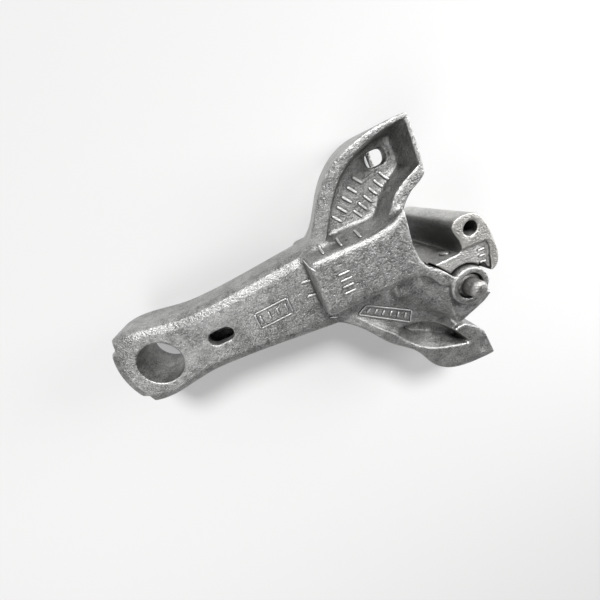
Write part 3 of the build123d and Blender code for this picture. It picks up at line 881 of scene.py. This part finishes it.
@dataclass(frozen=True)
class PlainFrame:
    """A raised outline with a tally in it."""

    corners: tuple[Spot, Spot, Spot, Spot]
    level: float
    strokes: int
    width: float = 5.0 * MM
    rise: float = 3.8 * MM
    shine: float = 0.5

    STROKE_WIDTH: ClassVar[float] = 1.2
    ROW_SPAN: ClassVar[Spot] = (0.12, 0.88)
    STROKE_SPAN: ClassVar[Spot] = (0.24, 0.78)

    def beads(self) -> list[Bead]:
        """Draws the outline, then the strokes across its middle.

        Returns:
            The beads.
        """
        low_left, low_right, high_right, high_left = (
            Vector((*corner, self.level)) for corner in self.corners
        )
        ring = tuple((x, y, self.level) for x, y in (*self.corners, self.corners[0]))
        made = [
            Bead(pair, self.width, self.rise, shine=self.shine) for pair in zip(ring, ring[1:])
        ]
        first, last = self.ROW_SPAN
        for index in range(self.strokes):
            share = first + (last - first) * index / max(1, self.strokes - 1)
            low = low_left.lerp(low_right, share)
            high = high_left.lerp(high_right, share)
            ends = tuple(tuple(low.lerp(high, reach)) for reach in self.STROKE_SPAN)
            made.append(Bead(ends, self.width * self.STROKE_WIDTH, self.rise, shine=self.shine))
        return made


# ------------------------------------------------------------------ the coupler
HUB_ROOM = Zone((0.664, -0.190, -0.2), (0.824, -0.030, 0.2), round=True)


@dataclass(frozen=True)
class CouplerBody:
    """The big casting: shank, lock box, guard arm, aligning wing and pivot lugs.

    The working zones are faces that other pieces work against, so they keep the
    solid's form. The lock's room is play round its front, which the softened
    walls would take up. The arm's window is in the lower half of its front wall.
    """

    working: tuple[Zone, ...] = (
        HUB_ROOM,
        Zone((0.425, -0.031, -0.135), (0.630, 0.083, 0.135)),
        Zone((0.530, -0.178, -0.135), (0.700, -0.020, -0.008)),
        Zone((0.594, -0.088, -0.135), (0.666, 0.000, 0.097)),
        Zone((0.365, 0.000, -0.160), (0.630, 0.050, -0.075)),
        Zone((0.600, -0.290, 0.030), (0.735, -0.205, 0.100)),
    )
    arm_window: Zone = Zone((0.675, 0.192, -0.120), (0.760, 0.246, -0.022))
    lock_room: Zone = Zone((0.600, -0.0265, -0.100), (0.6255, 0.0785, 0.1285))
    lug_swell: Zone = Zone((0.555, -0.155, 0.070), (0.690, -0.050, 0.140))
    marks: tuple[GaugeRibs | TallyRow | PlainFrame, ...] = (
        GaugeRibs(),
        TallyRow((0.535, 0.128), (0.607, 0.189), 0.029, 5, 0.05),
        TallyRow((0.583, 0.120), (0.664, 0.174), 0.027, 6, 0.05),
        TallyRow((0.466, 0.047), (0.466, 0.002), 0.027, 4, 0.147, 5 * MM, 3.6 * MM),
        PlainFrame(((0.256, -0.023), (0.344, -0.019), (0.344, 0.022), (0.257, 0.018)), 0.075, 4),
        PlainFrame(((0.490, -0.097), (0.610, -0.180), (0.622, -0.148), (0.516, -0.083)), 0.076, 6),
    )

    def build(self) -> None:
        """Makes the casting with its marks."""
        Casting(
            "coupler_body", CAST_STEEL, kept=self.working, swells=(self.lug_swell,),
            windows=(self.arm_window, self.lock_room),
            beads=tuple(bead for mark in self.marks for bead in mark.beads()),
        ).build()


@dataclass(frozen=True)
class Knuckle:
    """The swinging casting, with a tally on its top and a low pad inside its nose."""

    tally: TallyRow = TallyRow((0.801, -0.072), (0.801, -0.042), 0.016, 3, 0.132, 5 * MM, 3.6 * MM)
    pad: Bead = Bead(
        ((0.721, -0.031, 0.104), (0.733, -0.031, 0.095)), width=22 * MM, rise=5 * MM,
        aim=(0, -1, 0), reach=30 * MM, shine=0.35,
    )

    def build(self) -> None:
        """Makes the casting."""
        Casting(
            "knuckle", KNUCKLE_STEEL, grain=1.8 * MM, light=5, deep=20, faces=60_000,
            kept=(HUB_ROOM,), beads=(*self.tally.beads(), self.pad),
        ).build()


@dataclass(frozen=True)
class KnucklePin:
    """The pin of the knuckle's joint, turned with a collar and a rounded head.

    Its sizes are in millimetres.
    """

    radius: float = 20.6
    collar_radius: float = 28.0
    collar_foot: float = 136.0
    foot: float = -147.0
    head: float = 184.0
    turns: int = 96

    def profile(self) -> tuple[Spot, ...]:
        """Draws half the pin's outline.

        Returns:
            Radius and height of its corners in millimetres, from the foot up.
        """
        shaft, collar, ring, top = self.radius, self.collar_radius, self.collar_foot, self.head
        return (
            (0, self.foot), (shaft - 3, self.foot), (shaft, self.foot + 3), (shaft, ring),
            (collar - 1, ring), (collar, ring + 1), (collar, ring + 5.5), (collar - 1.5, ring + 7),
            (shaft + 0.4, ring + 8), (shaft - 0.2, ring + 10), (shaft - 0.2, top - 14),
            (shaft - 0.4, top - 10.5), (shaft - 1.4, top - 6.8), (shaft - 3.4, top - 3.8),
            (shaft - 6.4, top - 1.6), (10, top - 0.4), (5, top), (0, top),
        )

    def build(self) -> None:
        """Turns the outline about the joint's axis."""
        swing = next(joint for joint in frame["joints"] if joint["name"] == "knuckle_swing")
        form = bmesh.new()
        points = [form.verts.new((r * MM, 0.0, z * MM)) for r, z in self.profile()]
        edges = [form.edges.new(pair) for pair in zip(points, points[1:])]
        bmesh.ops.spin(
            form, geom=points + edges, axis=(0, 0, 1), cent=(0, 0, 0), angle=math.tau,
            steps=self.turns, use_merge=True,
        )
        bmesh.ops.remove_doubles(form, verts=form.verts, dist=1e-6)
        bmesh.ops.recalc_face_normals(form, faces=form.faces)
        bmesh.ops.translate(form, verts=form.verts, vec=Vector(swing["pos_m"]))
        install(form_object("knuckle_pin_turned", form), "knuckle_pin", "coupler_body", PIN_STEEL)


class LockGear:
    """The lock, the thrower, the lift links and the small pins, as the CAD has them."""

    FINISHES = {
        "lever_pin": PIN_STEEL,
        "lock": LOCK_STEEL,
        "knuckle_thrower": LOCK_STEEL,
        "lock_lift_lever": FORGED_STEEL,
        "lock_lift_connector": FORGED_STEEL,
        "lock_lift_toggle": FORGED_STEEL,
        "pin_cotter": BRIGHT_STEEL,
        "lever_rivet": BRIGHT_STEEL,
        "connector_rivet": BRIGHT_STEEL,
        "toggle_rivet": BRIGHT_STEEL,
    }

    def build(self) -> None:
        """Dresses each of them."""
        for node, finish in self.FINISHES.items():
            dress(node, finish)


# ------------------------------------------------------------------ studio
def hang(data: bpy.types.Light, place: Point, target: Point) -> None:
    """Hangs a light.

    Args:
        data: The light.
        place: Where it hangs.
        target: What it points at.
    """
    made = bpy.data.objects.new(data.name, data)
    made.location = place
    made.rotation_euler = (Vector(target) - Vector(place)).to_track_quat("-Z", "Y").to_euler()
    bpy.context.scene.collection.objects.link(made)


@dataclass(frozen=True)
class Key:
    """The key light: a wide distant panel, even over the whole floor."""

    place: Point = (0.75, 2.25, 2.50)
    target: Point = (0.35, -0.05, 0.0)
    spread: float = 0.26
    strength: float = 4.8

    def build(self) -> None:
        """Adds it as a sun, whose spread is an angle in radians."""
        data = bpy.data.lights.new("key", "SUN")
        data.angle = self.spread
        data.energy = self.strength
        hang(data, self.place, self.target)


@dataclass(frozen=True)
class Lamp:
    """A soft square lamp, with its side in metres and its power in watts."""

    name: str
    place: Point
    target: Point
    side: float
    power: float

    def build(self) -> None:
        """Adds the lamp."""
        data = bpy.data.lights.new(self.name, "AREA")
        data.size = self.side
        data.energy = self.power
        hang(data, self.place, self.target)


@dataclass(frozen=True)
class Floor:
    """The pale floor under the part."""

    level: float
    half_side: float = 30.0
    colour: Colour = (0.38, 0.38, 0.378)
    glow: float = 0.245
    glow_in_gloss: float = 1.6

    def build(self) -> None:
        """Lays it, paler to the camera and in gloss than the light alone makes it."""
        form = bmesh.new()
        bmesh.ops.create_grid(form, x_segments=1, y_segments=1, size=self.half_side)
        floor = form_object("floor", form)
        floor.location.z = self.level
        material = bpy.data.materials.new("floor")
        graph = Graph(material, "Principled BSDF")
        seen = graph.path("Is Camera Ray") + graph.path("Is Glossy Ray") * self.glow_in_gloss
        graph.shade("Base Color", self.colour)
        graph.shade("Roughness", 0.9)
        graph.shade("Specular IOR Level", 0.0)
        graph.shade("Emission Color", seen * self.glow)
        graph.shade("Emission Strength", 1.0)
        floor.data.materials.append(material)


@dataclass(frozen=True)
class Room:
    """The world: soft light all round, and a pale wall to the camera."""

    light: float = 0.16
    wall: float = 0.74

    def build(self) -> None:
        """Makes it the scene's world."""
        world = bpy.data.worlds.new("room")
        graph = Graph(world, "Background")
        graph.shade("Color", (1.0, 1.0, 1.0))
        graph.shade("Strength", graph.path("Is Camera Ray") * self.wall + self.light)
        bpy.context.scene.world = world


@dataclass(frozen=True)
class Studio:
    """The camera, the lights, the floor and the room."""

    floor_gap: float = 1.0 * MM
    lens: float = 18.03
    sensor: float = 36.0
    nearest: float = 10.0 * MM
    eye: Point = (0.37370, 0.26771, 0.74761)
    turn_degrees: Point = (-19.816124, -8.435619, -22.820027)
    lights: tuple[Key | Lamp, ...] = (
        Key(),
        Lamp("side", (2.5, 0.3, 1.0), (0.4, -0.1, 0.0), 1.2, 38.0),
        Lamp("fill", (-1.1, -0.6, 2.4), (0.3, 0.0, 0.0), 1.4, 30.0),
    )

    def build(self) -> None:
        """Sets it all up round the part."""
        self.camera()
        Floor(cad_box[0][2] - self.floor_gap).build()
        Room().build()
        for light in self.lights:
            light.build()
        bpy.context.scene.view_settings.view_transform = "Standard"

    def camera(self) -> None:
        """Places the camera."""
        data = bpy.data.cameras.new("camera")
        data.lens = self.lens
        data.sensor_width = self.sensor
        data.clip_start = self.nearest
        made = bpy.data.objects.new("camera", data)
        made.location = self.eye
        made.rotation_euler = [math.radians(angle) for angle in self.turn_degrees]
        bpy.context.scene.collection.objects.link(made)
        bpy.context.scene.camera = made


def main() -> None:
    """Builds every piece, then the studio."""
    for assembly in (CouplerBody(), Knuckle(), KnucklePin(), LockGear()):
        assembly.build()
        log.info("%s built", type(assembly).__name__)
    Studio().build()


if __name__ == "__main__":
    logging.basicConfig(level=logging.INFO)
    main()
